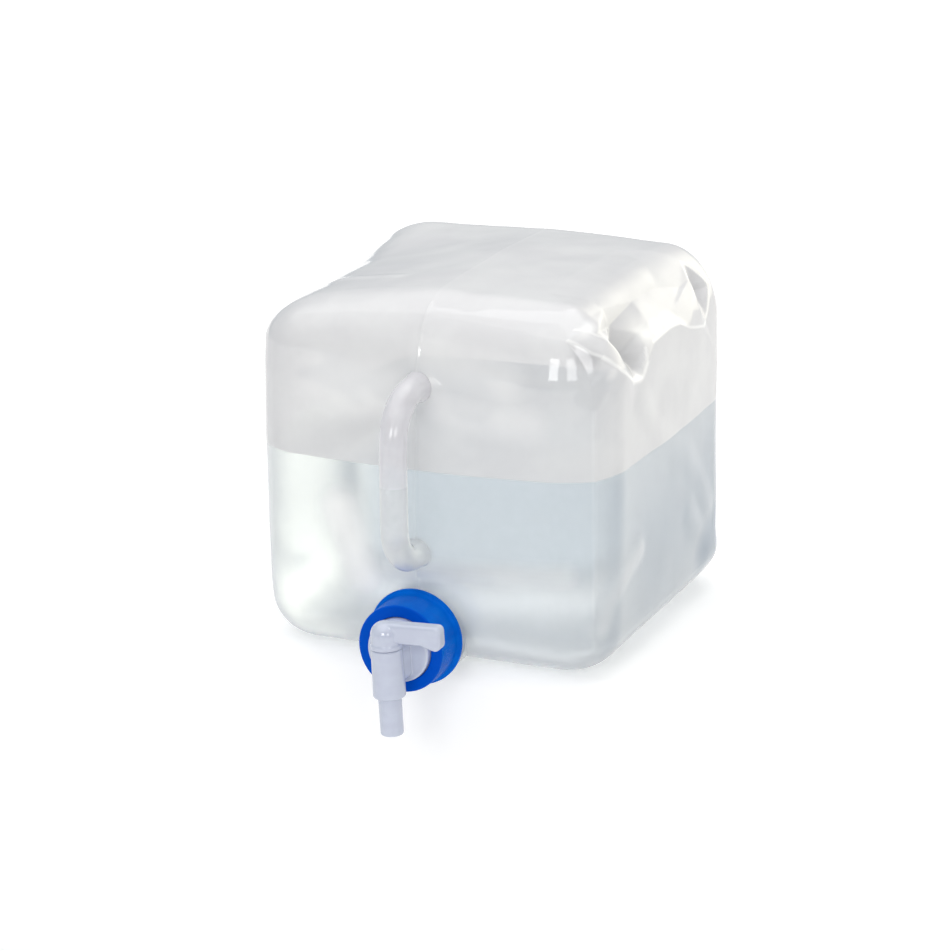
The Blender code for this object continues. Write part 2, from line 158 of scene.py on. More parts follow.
# The tap's upright parts: radii, and heights from the neck's axis
BARREL_BORE = 0.0073
BARREL_LOW = 0.0099
BARREL_HIGH = 0.0094
BARREL_TOP = 0.0070
BARREL_FOOT = 0.0232
BARREL_ROUND = 0.0016
BARREL_EDGE = 0.0004
BORE_SPARE = 0.002
PLUG = 0.0070
KEY_BORE = 0.0056
KEY_SEAT = 0.0073
SPOUT_REACH = 0.0468
SPOUT_ROUND = 0.0013
SPOUT_HOLLOW = 0.006
COLLAR = 0.0098
COLLAR_ROUND = 0.0007
COLLAR_ROUND_AT = 0.0023
COLLAR_DEPTH = 0.0034
HEAD = 0.0092
HEAD_TOP = 0.0238
HEAD_ROUND = 0.0084
LEVER_HALF = 0.00475
LEVER_FOOT = 0.0112
LEVER_TOP = 0.0236
LEVER_STEP = 0.0235
LOBE_FOOT = 0.0084
LOBE_REACH = 0.0365
LOBE_ROUND = 0.0042
LEVER_ROUND = 0.0034
LEVER_EDGE = 0.0022
MOULDING_GRAIN = 0.00036
MOULDING_ROUNDS = 5

# How strongly each material bends light
PLASTIC_BENDS = 1.5
WATER_BENDS = 1.333

# The camera, fitted to the photo
CAMERA_AZIMUTH = math.radians(23.4033)
CAMERA_ELEVATION = math.radians(17.4623)
CAMERA_ROLL = math.radians(-0.7146)
CAMERA_DISTANCE = 2.0201
CAMERA_SHIFT_RIGHT = -0.01325
CAMERA_SHIFT_UP = -0.0253
CAMERA_AIM_HEIGHT = 0.001
CAMERA_LENS = 122.4
CAMERA_SENSOR = 36.0

# The studio: the table the carrier stands on, the ground, and each lamp's name, place, size and power
TABLE_PLACE = (0.0, 1.395, -0.25)
TABLE_SIZE = (6.0, 3.0, 0.5)
TABLE_EDGE = 0.012
GROUND_LEVEL = -0.5
GROUND_SIZE = 12.0
LAMPS = (
    ("window_left", (0.09, -1.63, 0.63), (0.50, 0.50), 4.3),
    ("window_right", (1.07, -1.31, 0.61), (0.52, 0.44), 2.7),
    ("overhead", (0.2, 0.3, 1.6), (1.2, 1.2), 4.6),
)
LAMP_AIM = (0.0, 0.0, 0.12)


# Materials

class Signal:
    """A socket's value inside a finish. Arithmetic on it adds Math nodes."""

    def __init__(self, finish, socket):
        self.finish = finish
        self.socket = socket

    def maths(self, operation, *values):
        return self.finish.node("ShaderNodeMath", {"operation": operation}, dict(enumerate(values)))

    def __add__(self, other):
        return self.maths("ADD", self, other)

    def __sub__(self, other):
        return self.maths("SUBTRACT", self, other)

    def __mul__(self, other):
        return self.maths("MULTIPLY", self, other)

    def __pow__(self, other):
        return self.maths("POWER", self, other)

    def __rsub__(self, other):
        return self.maths("SUBTRACT", other, self)

    def __rtruediv__(self, other):
        return self.maths("DIVIDE", other, self)

    __radd__ = __add__
    __rmul__ = __mul__

    def ramp(self, low, high, start=0.0, end=1.0):
        """The value carried smoothly from one range to another, and held at its ends."""
        return self.finish.node(
            "ShaderNodeMapRange", {"interpolation_type": "SMOOTHSTEP"},
            {"Value": self, "From Min": low, "From Max": high, "To Min": start, "To Max": end},
        )


class Finish:
    """One material, or the surroundings, written as a tree of nodes."""

    def __init__(self, name, kinds=None):
        self.material = (bpy.data.materials if kinds is None else kinds).new(name)
        self.material.use_nodes = True
        self.tree = self.material.node_tree
        self.tree.nodes.clear()

    def node(self, kind, settings=None, values=None, output=0):
        """Adds a node: first its settings, then the values or links of its sockets."""
        node = self.tree.nodes.new(kind)
        for key, value in (settings or {}).items():
            setattr(node, key, value)
        for key, value in (values or {}).items():
            if isinstance(value, Signal):
                self.tree.links.new(value.socket, node.inputs[key])
            else:
                node.inputs[key].default_value = value
        return Signal(self, node.outputs[output]) if node.outputs else None

    def place(self):
        return self.node("ShaderNodeTexCoord", output="Object")

    def stretched(self, scale, turn=(0.0, 0.0, 0.0)):
        """Object coordinates turned and stretched, for patterns that run one way."""
        values = {"Vector": self.place(), "Scale": scale, "Rotation": turn}
        return self.node("ShaderNodeMapping", None, values)

    def cloud(self, scale, detail=2.0, where=None):
        values = {"Vector": where or self.place(), "Scale": scale, "Detail": detail}
        return self.node("ShaderNodeTexNoise", None, values)

    def attribute(self, name):
        return self.node("ShaderNodeAttribute", {"attribute_name": name}, output="Fac")

    def colour(self, first, second, share):
        """A colour between two colours."""
        values = {0: share, 6: first, 7: second}
        return self.node("ShaderNodeMix", {"data_type": "RGBA"}, values, output=2)

    def facing(self):
        """The cosine of the angle at which the surface is seen, as its clarity and gloss need."""
        return 1.0 - self.node("ShaderNodeLayerWeight", None, {"Blend": 0.5}, output="Facing")

    def bump(self, height, strength, distance):
        values = {"Height": height, "Strength": strength, "Distance": distance}
        return self.node("ShaderNodeBump", None, values)

    def plastic(self, **values):
        """The Principled shader; its constants go straight onto its sockets."""
        return self.node("ShaderNodeBsdfPrincipled", None, values)

    def mixed(self, first, second, share):
        return self.node("ShaderNodeMixShader", None, {0: share, 1: first, 2: second})

    def shown(self, shader):
        self.node("ShaderNodeOutputMaterial", None, {"Surface": shader})
        return self.material


def grey(value, tint=(1.0, 1.0, 1.0)):
    return (value * tint[0], value * tint[1], value * tint[2], 1.0)


def film_finish():
    """Thin milky polyethylene: hazy, hazier where it is seen edge on, and clearer and bluer where water
    wets it from inside. It is painted white along its creases, partly stress whitening and partly painted
    highlight, with painted glows beside them, and painted shade greys its hollows and some shaded places."""
    f = Finish("milky_film")
    whitening_and_painted_light = f.attribute("whitening_and_painted_light")
    hollow = f.attribute("hollow")
    height = f.node("ShaderNodeSeparateXYZ", None, {"Vector": f.place()}, output="Z")
    wet = height.ramp(WATER_LEVEL - 0.0007, WATER_LEVEL + 0.0004, 1.0, 0.0)
    worn = f.cloud(22.0, 4.0)
    bands = f.cloud(1.0, 1.0, f.stretched((5.0, 5.0, 20.0)))
    haze = 0.70 - 0.29 * wet + 0.04 * worn.ramp(0.3, 0.7) + 0.06 * bands.ramp(0.3, 0.7)
    # the painted light and the painted shade also make the film milkier
    haze = haze + 0.3 * whitening_and_painted_light + 0.2 * hollow
    clarity = (1.0 - haze.ramp(0.0, 1.0, 0.0, 0.96)) ** (1.0 / (f.facing() + 0.06))
    # where the film is seen from inside, it lets more through
    inside = f.node("ShaderNodeNewGeometry", output="Backfacing")
    tone = f.colour(grey(0.69, (1.0, 0.995, 1.01)), grey(0.73, (1.0, 1.0, 1.005)), worn.ramp(0.35, 0.65))
    tone = f.colour(tone, grey(0.62, (0.94, 0.985, 1.035)), wet)
    # painted shade: greyer where the hollow attribute is set, darker and bluer below the water
    shade = f.colour(grey(0.54, (1.0, 1.0, 1.02)), (0.27, 0.33, 0.40, 1.0), wet)
    tone = f.colour(tone, shade, hollow)
    # the film whiter along its creases and patches: partly stress whitening, partly painted highlight and
    # glow
    tone = f.colour(tone, grey(0.98, (1.0, 1.0, 0.985)), whitening_and_painted_light)
    grain = f.cloud(900.0, 2.0) * 0.3 + f.cloud(120.0, 3.0)
    shader = f.plastic(**{
        "Base Color": tone, "Roughness": 0.03 + 0.05 * worn, "Specular IOR Level": 0.8,
        "Alpha": (1.0 - clarity) * (1.0 - 0.6 * inside), "IOR": PLASTIC_BENDS,
        "Normal": f.bump(grain, 0.03, 0.0003),
    })
    return f.shown(shader)


def water_finish():
    """Clean water that bends what is seen through it. Lamps' light passes straight, and so does a ray
    that has been turned back inside it three times, which would otherwise end there."""
    f = Finish("water")
    depth = f.cloud(6.0, 2.0)
    tint = f.colour((0.90, 0.95, 0.965, 1.0), (0.93, 0.965, 0.975, 1.0), depth)
    shader = f.plastic(**{
        "Base Color": tint, "Roughness": 0.28, "IOR": WATER_BENDS, "Transmission Weight": 1.0,
    })
    clear = f.node("ShaderNodeBsdfTransparent", None, {"Color": (0.93, 0.96, 0.97, 1.0)})
    straight = f.node("ShaderNodeLightPath", output="Is Shadow Ray")
    straight = straight + f.node("ShaderNodeLightPath", output="Glossy Depth").ramp(2.4, 2.6)
    return f.shown(f.mixed(shader, clear, straight.ramp(0.0, 1.0)))


def handle_finish():
    """The handle's thicker milky wall: lavender, paler and bluer below the water that stands in it, with a
    painted blue-grey shade under its foot.
    """
    f = Finish("milky_handle")
    height = f.node("ShaderNodeSeparateXYZ", None, {"Vector": f.place()}, output="Z")
    wet = height.ramp(HANDLE_WATER - 0.0008, HANDLE_WATER + 0.0004, 1.0, 0.0)
    # where the painted blue-grey shade lies, under the foot's bend
    foot = height.ramp(HANDLE_FOOT - HANDLE_RADIUS, HANDLE_FOOT - 0.3 * HANDLE_RADIUS, 1.0, 0.0)
    worn = f.cloud(60.0, 3.0)
    haze = 0.44 + 0.05 * worn.ramp(0.3, 0.7) - 0.08 * wet
    clarity = (1.0 - haze) ** (1.0 / (f.facing() + 0.12))
    tone = f.colour(grey(0.79, (1.0, 0.985, 1.035)), grey(0.78, (0.985, 1.0, 1.02)), wet)
    # painted blue-grey shade under the foot
    tone = f.colour(tone, (0.62, 0.68, 0.79, 1.0), foot)
    shader = f.plastic(**{
        "Base Color": tone, "Roughness": 0.05 + 0.04 * worn, "Specular IOR Level": 1.0,
        "Coat Weight": 1.0, "Coat Roughness": 0.05, "Alpha": 1.0 - clarity, "IOR": PLASTIC_BENDS,
        "Normal": f.bump(f.cloud(150.0, 3.0), 0.04, 0.0003),
    })
    return f.shown(shader)


def moulded_finish(name, dark, light, roughness, gloss, front=None):
    """Opaque moulded plastic: flow marks in its colour, a fine grain and a slightly uneven gloss. The
    colour given as front is painted shade, which darkens the cap's front ring below its skirt."""
    f = Finish(name)
    flow = f.cloud(1.0, 3.0, f.stretched((45.0, 45.0, 140.0)))
    scuffs = f.cloud(160.0, 5.0)
    tone = f.colour(dark, light, (0.7 * flow + 0.3 * scuffs).ramp(0.3, 0.7))
    # painted shade: the front ring darker than the skirt
    if front:
        ahead = f.node("ShaderNodeSeparateXYZ", None, {"Vector": f.place()}, output="Y")
        tone = f.colour(tone, front, ahead.ramp(-CAP_FRONT + 0.0003, -CAP_FRONT + 0.0014, 1.0, 0.0))
    shine = roughness + 0.06 * (scuffs - 0.5)
    shader = f.plastic(**{
        "Base Color": tone, "Roughness": shine, "Specular IOR Level": gloss,
        "Normal": f.bump(f.cloud(700.0, 4.0) + 0.6 * f.cloud(90.0, 2.0), 0.25, 0.00001),
    })
    return f.shown(shader)


def stage_finish():
    """A pale table whose own light is only for the rays that see it, so that it keeps the shadow.
    Rays that come out of the water pass it, to see the surroundings below."""
    f = Finish("pale_table")
    sees = f.node("ShaderNodeLightPath", output="Is Camera Ray")
    sees = (sees + f.node("ShaderNodeLightPath", output="Is Glossy Ray")).ramp(0.0, 1.0)
    fibre = f.cloud(30.0, 3.0)
    tone = f.colour(grey(0.86), grey(0.88), fibre)
    glow = f.colour(grey(0.0), grey(0.25), sees)
    shader = f.plastic(**{
        "Base Color": tone, "Roughness": 0.9, "Specular IOR Level": 0.0,
        "Emission Color": glow, "Emission Strength": 1.0,
    })
    through = f.node("ShaderNodeLightPath", output="Is Transmission Ray")
    return f.shown(f.mixed(shader, f.node("ShaderNodeBsdfTransparent"), through))


# Modelling by hand

def deselect():
    for obj in list(bpy.context.selected_objects):
        obj.select_set(False)


def alone(obj):
    """Selects one piece and nothing else, and makes it the active one."""
    deselect()
    bpy.context.view_layer.objects.active = obj
    obj.select_set(True)


def primitive(name, add, **values):
    """Adds a primitive on its own, ready to be shaped."""
    deselect()
    add(**values)
    obj = bpy.context.object
    obj.name = name
    obj.data.name = name
    return obj


def editing(obj, everything=True):
    """Opens a piece in edit mode, with all of it selected or nothing."""
    alone(obj)
    bpy.ops.object.mode_set(mode="EDIT")
    bpy.ops.mesh.select_mode(type="FACE")
    bpy.ops.mesh.select_all(action="SELECT" if everything else "DESELECT")


def done():
    bpy.ops.object.mode_set(mode="OBJECT")


def choose(obj, wanted):
    """Selects the faces of the piece in edit mode whose middle is wanted."""
    mesh = bmesh.from_edit_mesh(obj.data)
    for face in mesh.faces:
        face.select_set(wanted(face.calc_center_median()))
    bmesh.update_edit_mesh(obj.data)


def modified(obj, kind, **values):
    """Adds a modifier and applies it at once."""
    alone(obj)
    modifier = obj.modifiers.new(kind.lower(), kind)
    for key, value in values.items():
        setattr(modifier, key, value)
    bpy.ops.object.modifier_apply(modifier=modifier.name)


def smooth(obj, angle):
    """Shades a piece smooth, apart from edges sharper than an angle in degrees."""
    alone(obj)
    bpy.ops.object.shade_smooth_by_angle(angle=math.radians(angle))


def points_of(obj):
    places = np.empty(len(obj.data.vertices) * 3)
    obj.data.vertices.foreach_get("co", places)
    return places.reshape(-1, 3)


def put_points(obj, places):
    obj.data.vertices.foreach_set("co", np.ascontiguousarray(places).ravel())
    obj.data.update()


def normals_of(obj):
    directions = np.empty(len(obj.data.vertices) * 3)
    obj.data.vertices.foreach_get("normal", directions)
    return directions.reshape(-1, 3)


def put_attribute(obj, name, values):
    attribute = obj.data.attributes.new(name, "FLOAT", "POINT")
    attribute.data.foreach_set("value", np.asarray(values, dtype=np.float32))


# The container and its water

def rounded(shares):
    """Grid points of a cube, from -1 to 1, carried onto the container's rounded box."""
    shares = shares.copy()
    for axis in (0, 2):
        shares[:, axis] += GRID_GATHER * (1.0 - shares[:, axis] ** 2)
    places = shares * np.array(HALF)
    edge = np.full_like(places, EDGE_ACROSS)
    rightwards = 0.5 + 0.5 * places[:, 0] / HALF.x
    top = EDGE_TOP_LEFT + (EDGE_TOP_RIGHT - EDGE_TOP_LEFT) * rightwards
    edge[:, 2] = np.where(places[:, 2] > 0.0, top, EDGE_BASE)
    inner = np.array(HALF) - edge
    core = np.clip(places, -inner, inner)
    spoke = (places - core) / edge
    length = np.linalg.norm(spoke, axis=1, keepdims=True)
    places = core + edge * spoke / np.maximum(length, 1e-9)
    places[:, 2] += HALF.z
    return places


def swollen(places):
    """The water's pressure: each face bulges, most below its middle, and the base stays flat."""
    across, along = places[:, 0] / HALF.x, places[:, 1] / HALF.y
    up = (places[:, 2] - HALF.z) / HALF.z
    droop = 1.0 - DROOP * up
    out = np.zeros_like(places)
    out[:, 0] = np.sign(across) * SIDE_BULGE * (1 - along**2) * (1 - up**2) * droop
    depth = np.where(along < 0.0, FRONT_BULGE, REAR_BULGE)
    out[:, 1] = np.sign(along) * depth * (1 - across**2) * (1 - up**2) * droop
    out[:, 2] = np.where(up > 0.0, TOP_BULGE * (1 - across**2) * (1 - along**2), 0.0)
    return places + out


def eased(share):
    """Shares held between 0 and 1, with a soft start and a soft end."""
    held = np.clip(share, 0.0, 1.0)
    return held**2 * (3 - 2 * held)


def hang(places):
    """How far the slack top hangs down, most along its left edge and less at its right corners."""
    left = np.clip(-places[:, 0] / HALF.x, 0.0, 1.0) ** SLACK_POWER
    right = np.clip(places[:, 0] / HALF.x, 0.0, 1.0) ** SLACK_POWER
    along = places[:, 1] / HALF.y
    edge = LEFT_SLACK * left * eased((1.0 - along) / SLACK_REACH)
    edge += RIGHT_FRONT_SLACK * right * np.clip(-along, 0.0, 1.0) ** 2
    edge += RIGHT_BACK_SLACK * right * np.clip(along, 0.0, 1.0)
    return edge * eased((places[:, 2] - SLACK_LOW) / (SLACK_HIGH - SLACK_LOW))


def hump(distance, width):
    """A smooth hump that is 1 at no distance and gone at its width."""
    share = np.clip(1.0 - (distance / width) ** 2, 0.0, 1.0)
    return share**2


def curved(line):
    """A line through the same points, bent smoothly (Catmull and Rom's way), as film creases."""
    points = [np.array(point, dtype=float) for point in line]
    closed = bool(np.allclose(points[0], points[-1]))
    before = points[-2] if closed else 2 * points[0] - points[1]
    after = points[1] if closed else 2 * points[-1] - points[-2]
    points = [before, *points, after]
    bent = []
    for a, b, c, d in zip(points, points[1:], points[2:], points[3:]):
        for share in (0.0, 0.25, 0.5, 0.75):
            bent.append(0.5 * (
                2 * b + (c - a) * share + (2 * a - 5 * b + 4 * c - d) * share**2
                + (3 * b - 3 * c + d - a) * share**3
            ))
    return bent + [points[-2]]


def distance_to_line(places, line):
    """How far each point is from a line of joined stretches."""
    nearest = np.full(len(places), 1e9)
    for start, end in zip(line, line[1:]):
        start, end = np.asarray(start), np.asarray(end)
        run = end - start
        share = np.clip((places - start) @ run / max(run @ run, 1e-9), 0.0, 1.0)
        nearest = np.minimum(nearest, np.linalg.norm(places - start - share[:, None] * run, axis=1))
    return nearest


# The crumpled upper right edge. Each corner of its facets is a place on the unfolded edge, in
# millimetres: along the edge, from front to back, and across it, from the side up to the top, with
# the height by which the film stands out there
FACET_CORNERS = {
    "band_low": (-103, 12, 0.5), "band_a": (-100, -4, 1.8), "band_b": (-95, -15, 3.0),
    "band_c": (-87, -29, 3.0), "band_d": (-79, -37, 2.4), "fold_foot": (-67, -46, 1.0),
    "band_top": (-97, 15, 0.4), "ridge_a": (-91, 1, 1.4), "ridge_b": (-86, -8, 1.8),
    "ridge_c": (-77, -29, 0.8), "ridge_foot": (-64, -40, -2.0),
    "gully_a": (-72, -16, -10.0), "gully_b": (-66, -29, -10.0), "gully_foot": (-58, -41, -6.0),
    "gully_top": (-64, -1, -7.0), "gully_head": (-62, 14, -2.5),
    "crease_foot": (-53, -48, 1.0), "crease_a": (-46, -41, 1.6), "crease_b": (-43, -32, 0.5),
    "crease_c": (-44, -20, -2.0), "crease_d": (-27, -17, -0.5), "crease_e": (8, -22, 0.5),
    "shelf_a": (-34, -31, 2.4), "shelf_b": (-5, -30, 2.6), "shelf_c": (12, -31, 2.2),
    "shelf_d": (29, -38, 2.0), "shelf_end": (55, -43, 1.4),
    "slope_a": (-25, 4, -4.0), "slope_b": (12, 2, -3.0), "slope_c": (38, -8, -1.0),
    "lens_top": (62, 10, 0.8), "lens_left": (54, -6, 1.2), "lens_low": (52, -27, 1.2),
    "lens_foot": (60, -41, 0.6), "lens_back": (72, -5, 0.8), "lens_edge": (78, -18, 1.0),
    "lens_hem": (68, -33, 0.8), "lens_heart": (65, -16, -7.5),
}
FACET_EDGES = (
    ("band_low", "band_a", "band_b", "band_c", "band_d", "fold_foot", "crease_foot"),
    ("band_top", "ridge_a", "ridge_b", "ridge_c", "ridge_foot", "gully_foot", "crease_foot"),
    ("gully_head", "gully_top", "gully_a", "gully_b", "gully_foot"),
    ("crease_foot", "crease_a", "crease_b", "crease_c", "crease_d", "crease_e", "lens_left"),
    ("crease_b", "shelf_a", "shelf_b", "shelf_c", "shelf_d", "shelf_end", "lens_foot"),
    ("gully_top", "slope_a", "slope_b", "slope_c", "lens_left"),
    ("lens_top", "lens_left", "lens_low", "lens_foot", "lens_hem", "lens_edge", "lens_back", "lens_top"),
    ("lens_top", "lens_heart", "lens_foot"),
)
FACET_LIMITS = ((-104, 118), (-66, 52))
FACET_LIMIT_STEPS = 6
# the depth of hollow, in millimetres, at which the painted shade is full
FULL_SHADE_DEPTH = 10.0
# Where the facets begin, and where the film is smoothed: from the middle, the front and the base
CRUMPLED_FROM = (0.04, -0.108, 0.12)
SMOOTHED_FROM = (0.05, -0.105, 0.155)
SMOOTHED_ROUNDS = 5

# The white creases, partly stress whitening and partly painted highlight: the facet corners they join, how
# wide they are in millimetres and how white
WHITE_CREASES = (
    (("band_top", "ridge_a", "ridge_b", "ridge_c", "ridge_foot"), 1.5, 0.55),
    (("band_low", "band_a", "band_b"), 1.3, 0.7),
    (("band_b", "band_c", "band_d", "fold_foot"), 1.8, 1.0),
    (("fold_foot", "crease_foot", "crease_a"), 3.2, 1.0),
    (("crease_a", "crease_b"), 2.0, 1.0),
    (("shelf_a", "shelf_b", "shelf_c"), 2.4, 0.7),
    (("shelf_c", "shelf_d", "shelf_end"), 1.5, 0.9),
    (("lens_top", "lens_left", "lens_low", "lens_foot"), 1.4, 1.0),
    (("lens_top", "lens_back", "lens_edge", "lens_hem", "lens_foot"), 1.3, 0.8),
    (("lens_foot", "shelf_end"), 2.2, 0.9),
)
# Painted light beside them, pale glowing patches: place along and across, reach along and across, and how
# white
PAINTED_LIGHT_PATCHES = (
    (-93, 8, 12, 8, 0.6), (-92, -30, 7, 6, 0.5), (-56, -46, 10, 6, 0.7), (-38, -24, 15, 13, 0.7),
    (-22, -24, 16, 12, 0.7), (-4, -24, 18, 11, 0.6), (36, -18, 30, 30, 0.1), (-20, -14, 36, 20, 0.1),
)

# Sharp folds: points of the ridge, its height and its width in millimetres, and its whiteness, a painted
# highlight along the fold
FOLD_POWER = 1.3
FOLD_PAINTED_HIGHLIGHT_WIDTH = 2.2
SHARP_FOLDS = (
    (((104.5, -103.5, 174), (104.5, -103.5, 24)), 3.0, 15.0, 0.1),
    (((-104.5, -103.5, 190), (-104.5, -103.5, 40)), 0.8, 14.0, 0.0),
    (((-104.5, 103.5, 190), (-104.5, 103.5, 24)), 4.5, 22.0, 0.0),
    (((-88, -103.5, 220), (0, -103.5, 217), (88, -103.5, 213)), 1.3, 13.0, 0.0),
)

# Painted shade beside the crumpled corner, along the front's right edge, in the lower right corner and over
# the wet right face: points of the line, reach in millimetres and depth of the shade
SHADES = (
    (((101, -100, 204), (98, -103, 205)), 9.0, 1.0), (((97, -103, 212), (97, -103, 212)), 10.0, 0.4),
    (((115, 62, 36), (115, 80, 44)), 36.0, 1.0), (((113, -90, 120), (112, -92, 20)), 16.0, 0.4),
    (((115, -30, 60), (115, 70, 75)), 75.0, 0.55),
)

# Softer creases and painted glows and highlights elsewhere: points of the line, its height, its width, both
# in millimetres, and its whiteness, which is painted light
# how much of each line's width its painted glow covers
PAINTED_GLOW_WIDTH_SHARE = 0.9
SOFT_CREASES_AND_PAINTED_GLOWS = (
    (((115, -53, 164), (115, -27, 134), (115, 20, 109), (115, 48, 86), (115, 66, 61)), 0.9, 14.0, 0.0),
    (((115, -58, 71), (115, -82, 62), (111, -96, 49), (108, -100, 36)), 1.2, 12.0, 0.25),
    (((115, 30, 66), (115, 70, 34), (115, 96, 24)), 1.0, 14.0, 0.0),
    (((-115, -60, 196), (-115, 10, 190), (-115, 70, 199)), -1.6, 30.0, 0.0),
    (((-85, -45, 228), (-40, -52, 228)), 0.5, 5.0, 0.1),
    (((-60, -113, 184), (-22, -113, 176)), 0.0, 32.0, 0.50),
    (((12, -113, 194), (52, -113, 188)), 0.0, 26.0, 0.38),
    (((20, -113, 168), (70, -113, 163)), 0.0, 20.0, 0.32),
    (((-50, -113, 98), (-36, -113, 58)), 0.0, 23.0, 0.95),
    (((-20, -113, 64), (92, -113, 71)), 0.0, 12.0, 0.42),
)


def unfolded(places):
    """Places near the upper right edge as points along it and across it, in millimetres."""
    along = places[:, 1] / MM
    across = ((HALF.x - places[:, 0]) - (2 * HALF.z - places[:, 2])) / MM
    return np.stack((along, across), axis=1)


def facet_heights(flat):
    """How far the crumpled film stands out at each unfolded point: flat facets between its corners."""
    (near, far), (low, high) = FACET_LIMITS
    names = list(FACET_CORNERS)
    corners = [FACET_CORNERS[name] for name in names]
    for step in range(FACET_LIMIT_STEPS):
        share = step / FACET_LIMIT_STEPS
        corners += [
            (near + (far - near) * share, low, 0.0), (far - (far - near) * share, high, 0.0),
            (near, high - (high - low) * share, 0.0), (far, low + (high - low) * share, 0.0),
        ]
    edges = [
        (names.index(start), names.index(end))
        for line in FACET_EDGES for start, end in zip(line, line[1:])
    ]
    flat_corners = [Vector(corner[:2]) for corner in corners]
    found, _, faces, origins, _, _ = delaunay_2d_cdt(flat_corners, edges, [], 0, 1e-4)
    tall = []
    for place, origin in zip(found, origins):
        tall.append(corners[origin[0]][2] if origin else 0.0)
    heights = np.zeros(len(flat))
    for face in faces:
        a, b, c = (np.array(found[index]) for index in face)
        spread = (b[1] - c[1]) * (a[0] - c[0]) + (c[0] - b[0]) * (a[1] - c[1])
        if abs(spread) < 1e-9:
            continue
        away = flat - c
        first = ((b[1] - c[1]) * away[:, 0] + (c[0] - b[0]) * away[:, 1]) / spread
        second = ((c[1] - a[1]) * away[:, 0] + (a[0] - c[0]) * away[:, 1]) / spread
        third = 1.0 - first - second
        inside = (first >= -1e-9) & (second >= -1e-9) & (third >= -1e-9)
        here = first * tall[face[0]] + second * tall[face[1]] + third * tall[face[2]]
        heights[inside] = here[inside]
    return heights


def waviness(places):
    """The slow unevenness of thin film, in metres."""
    return np.array([
        sum(height * noise.noise(Vector(place) * closeness) for height, closeness in WAVES)
        for place in places
    ])


def container():
    """The whole film container in one skin: a rounded box that swells, sags and crumples."""
    skin = primitive("container_film", bpy.ops.mesh.primitive_cube_add, size=2.0)
    editing(skin)
    bpy.ops.mesh.subdivide(number_cuts=GRID_CUTS)
    # a finer grid where the film is crumpled
    choose(skin, lambda middle: middle.x > FINE_FROM and middle.z > FINE_FROM)
    bpy.ops.mesh.subdivide(number_cuts=1)
    done()
    put_points(skin, rounded(points_of(skin)))
    editing(skin)
    for place in (-SEAM_HALF_WIDTH, 0.0, SEAM_HALF_WIDTH):
        bpy.ops.mesh.select_all(action="SELECT")
        bpy.ops.mesh.bisect(plane_co=(place, 0.0, 0.0), plane_no=(1.0, 0.0, 0.0))
    done()
    box = points_of(skin)
    flat = unfolded(box)
    upper = (box > np.array(CRUMPLED_FROM)).all(axis=1)
    heights = np.zeros(len(box))
    heights[upper] = facet_heights(flat[upper])
    # painted shade in the facets' hollows, darkest where they sink most
    hollow = np.clip(-heights / FULL_SHADE_DEPTH, 0.0, 1.0)
    white = np.zeros(len(box))
    # whitening along the creases, partly stress whitening and partly painted highlight
    for names, width, strength in WHITE_CREASES:
        line = curved([FACET_CORNERS[name][:2] for name in names])
        white[upper] = np.maximum(white[upper], hump(distance_to_line(flat[upper], line), width) * strength)
    # painted light: pale glowing patches beside the creases
    for along, across, reach_along, reach_across, strength in PAINTED_LIGHT_PATCHES:
        away = np.hypot((flat[:, 0] - along) / reach_along, (flat[:, 1] - across) / reach_across)
        white = np.maximum(white, np.where(upper, hump(away, 1.0) ** 1.5 * strength, 0.0))
    # painted shade along lines: by the crumple, the front's right edge, the lower right corner and the wet
    # right face
    for line, reach, strength in SHADES:
        hollow = np.maximum(hollow, hump(distance_to_line(box / MM, line), reach) * strength)
    # soft creases in the film, with painted glows and highlights as their whiteness
    for line, height, width, strength in SOFT_CREASES_AND_PAINTED_GLOWS:
        away = distance_to_line(box / MM, line)
        heights += hump(away, width) * height
        white = np.maximum(white, hump(away, PAINTED_GLOW_WIDTH_SHARE * width) * strength)
    # sharp folds, with a painted highlight along the front's right edge
    for line, height, width, strength in SHARP_FOLDS:
        away = distance_to_line(box / MM, line)
        heights += np.clip(1.0 - away / width, 0.0, 1.0) ** FOLD_POWER * height
        white = np.maximum(white, hump(away, FOLD_PAINTED_HIGHLIGHT_WIDTH) * strength)
    places = swollen(box)
    put_points(skin, places)
    out = normals_of(skin)
    standing = eased(places[:, 2] / STANDING_HEIGHT)
    seam = np.where(np.abs(places[:, 0]) < SEAM_HALF_WIDTH / 2, SEAM_HEIGHT, 0.0)
    seam *= np.where(places[:, 1] < -HALF.y + EDGE_ACROSS / 2, 1.0, SEAM_ELSEWHERE)
    moved = heights * MM + waviness(places) + seam
    places += out * (moved * standing)[:, None]
    places[:, 2] -= hang(box)
    put_points(skin, places)
    # the whitening with its painted light, and the painted shade in the hollow attribute, go to the film's
    # material
    put_attribute(skin, "whitening_and_painted_light", white)
    put_attribute(skin, "hollow", hollow)
    editing(skin, everything=False)
    right, front, low = SMOOTHED_FROM
    choose(skin, lambda middle: middle.x > right and middle.y > front and middle.z > low)
    bpy.ops.mesh.vertices_smooth(factor=0.5, repeat=SMOOTHED_ROUNDS)
    done()
    skin.data.materials.append(film_finish())
    bpy.ops.object.shade_smooth()
    return skin


def water(skin):
    """The water: the container's inside up to the level line."""
    alone(skin)
    bpy.ops.object.duplicate()
    body = bpy.context.object
    body.name = body.data.name = "water"
    body.data.materials.clear()
    put_points(body, points_of(body) - normals_of(body) * WATER_INSET)
    editing(body)
    bpy.ops.mesh.bisect(
        plane_co=(0.0, 0.0, WATER_LEVEL), plane_no=(0.0, 0.0, 1.0), use_fill=True, clear_outer=True
    )
    done()
    body.data.materials.append(water_finish())
    smooth(body, 50)
    return body


# The handle

def drawn_out(run):
    """Draws the selected ring out along a straight run, in short steps."""
    for _ in range(HANDLE_RUN_STEPS):
        bpy.ops.mesh.extrude_region_move(TRANSFORM_OT_translate={"value": run / HANDLE_RUN_STEPS})


